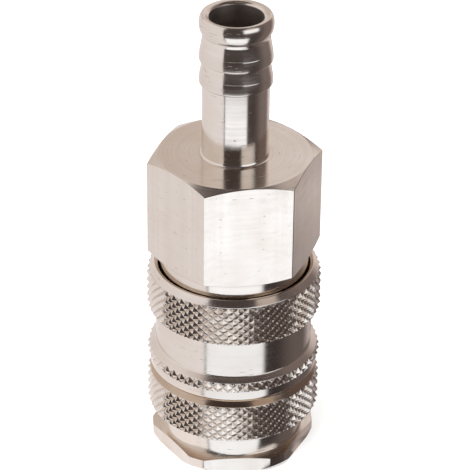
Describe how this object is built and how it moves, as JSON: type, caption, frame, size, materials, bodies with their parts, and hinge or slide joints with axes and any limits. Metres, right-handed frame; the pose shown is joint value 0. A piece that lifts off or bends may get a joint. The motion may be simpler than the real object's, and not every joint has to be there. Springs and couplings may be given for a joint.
{
  "type": "air quick coupling",
  "caption": "Nickel-plated socket for compressed air with a knurled release sleeve, a knurled safety ring, a hexagon and a barbed hose tail.",
  "frame": {"origin": "middle of the mouth's flat end face, on the coupling's axis", "axes": "+Z along the coupling's axis, from the mouth to the hose tail; two flats of the large hexagon face +Y and -Y"},
  "size_m": [0.0278, 0.0274, 0.0758],
  "materials": {
    "nickel": "polished",
    "knurled_nickel": "satin",
    "brass": "satin",
    "ball_steel": "polished",
    "spring_steel": "satin",
    "seal_rubber": "matte"
  },
  "bodies": {
    "body": {"coupling_body": "nickel", "hose_tail_adapter": "nickel", "stop_ring": "spring_steel", "sleeve_spring": "spring_steel", "ring_spring": "spring_steel", "plug_seal": "seal_rubber", "valve_spring": "spring_steel", "valve_guide": "brass", "thread_seal": "seal_rubber"},
    "sleeve": {"release_sleeve": "knurled_nickel"},
    "ring": {"safety_ring": "knurled_nickel"},
    "valve": {"valve_poppet": "brass", "valve_seal": "seal_rubber"},
    "lock_1": {"lock_ball_1": "ball_steel"},
    "lock_2": {"lock_ball_2": "ball_steel"},
    "lock_3": {"lock_ball_3": "ball_steel"},
    "lock_4": {"lock_ball_4": "ball_steel"},
    "lock_5": {"lock_ball_5": "ball_steel"},
    "lock_6": {"lock_ball_6": "ball_steel"},
    "guard_1": {"guard_ball_1": "ball_steel"},
    "guard_2": {"guard_ball_2": "ball_steel"},
    "guard_3": {"guard_ball_3": "ball_steel"},
    "guard_4": {"guard_ball_4": "ball_steel"},
    "guard_5": {"guard_ball_5": "ball_steel"},
    "guard_6": {"guard_ball_6": "ball_steel"}
  },
  "joints": [
    {"name": "sleeve_slide", "type": "slide", "parent": "body", "child": "sleeve", "axis": [0, 0, 1], "range_m": [0, 0.0018], "stiffness_N_per_m": 2000, "springref_m": -0.003, "deforming": ["sleeve_spring"]},
    {"name": "ring_slide", "type": "slide", "parent": "body", "child": "ring", "axis": [0, 0, -1], "range_m": [0, 0.003], "stiffness_N_per_m": 1500, "springref_m": -0.003, "deforming": ["ring_spring"]},
    {"name": "valve_slide", "type": "slide", "parent": "body", "child": "valve", "axis": [0, 0, 1], "range_m": [0, 0.004], "stiffness_N_per_m": 500, "springref_m": -0.003, "deforming": ["valve_spring"]},
    {"name": "lock_ball_1_slide", "type": "slide", "parent": "body", "child": "lock_1", "axis": [1, 0, 0], "range_m": [0, 0.0008]},
    {"name": "lock_ball_2_slide", "type": "slide", "parent": "body", "child": "lock_2", "axis": [0.5, 0.866, 0], "range_m": [0, 0.0008]},
    {"name": "lock_ball_3_slide", "type": "slide", "parent": "body", "child": "lock_3", "axis": [-0.5, 0.866, 0], "range_m": [0, 0.0008]},
    {"name": "lock_ball_4_slide", "type": "slide", "parent": "body", "child": "lock_4", "axis": [-1, 0, 0], "range_m": [0, 0.0008]},
    {"name": "lock_ball_5_slide", "type": "slide", "parent": "body", "child": "lock_5", "axis": [-0.5, -0.866, 0], "range_m": [0, 0.0008]},
    {"name": "lock_ball_6_slide", "type": "slide", "parent": "body", "child": "lock_6", "axis": [0.5, -0.866, 0], "range_m": [0, 0.0008]},
    {"name": "guard_ball_1_slide", "type": "slide", "parent": "body", "child": "guard_1", "axis": [1, 0, 0], "range_m": [0, 0.0008]},
    {"name": "guard_ball_2_slide", "type": "slide", "parent": "body", "child": "guard_2", "axis": [0.5, 0.866, 0], "range_m": [0, 0.0008]},
    {"name": "guard_ball_3_slide", "type": "slide", "parent": "body", "child": "guard_3", "axis": [-0.5, 0.866, 0], "range_m": [0, 0.0008]},
    {"name": "guard_ball_4_slide", "type": "slide", "parent": "body", "child": "guard_4", "axis": [-1, 0, 0], "range_m": [0, 0.0008]},
    {"name": "guard_ball_5_slide", "type": "slide", "parent": "body", "child": "guard_5", "axis": [-0.5, -0.866, 0], "range_m": [0, 0.0008]},
    {"name": "guard_ball_6_slide", "type": "slide", "parent": "body", "child": "guard_6", "axis": [0.5, -0.866, 0], "range_m": [0, 0.0008]}
  ],
  "couplings": [
    {"joint": "lock_ball_1_slide", "follows": "sleeve_slide", "ratio": 0.444},
    {"joint": "lock_ball_2_slide", "follows": "sleeve_slide", "ratio": 0.444},
    {"joint": "lock_ball_3_slide", "follows": "sleeve_slide", "ratio": 0.444},
    {"joint": "lock_ball_4_slide", "follows": "sleeve_slide", "ratio": 0.444},
    {"joint": "lock_ball_5_slide", "follows": "sleeve_slide", "ratio": 0.444},
    {"joint": "lock_ball_6_slide", "follows": "sleeve_slide", "ratio": 0.444},
    {"joint": "guard_ball_1_slide", "follows": "ring_slide", "ratio": 0.2666},
    {"joint": "guard_ball_2_slide", "follows": "ring_slide", "ratio": 0.2666},
    {"joint": "guard_ball_3_slide", "follows": "ring_slide", "ratio": 0.2666},
    {"joint": "guard_ball_4_slide", "follows": "ring_slide", "ratio": 0.2666},
    {"joint": "guard_ball_5_slide", "follows": "ring_slide", "ratio": 0.2666},
    {"joint": "guard_ball_6_slide", "follows": "ring_slide", "ratio": 0.2666}
  ]
}
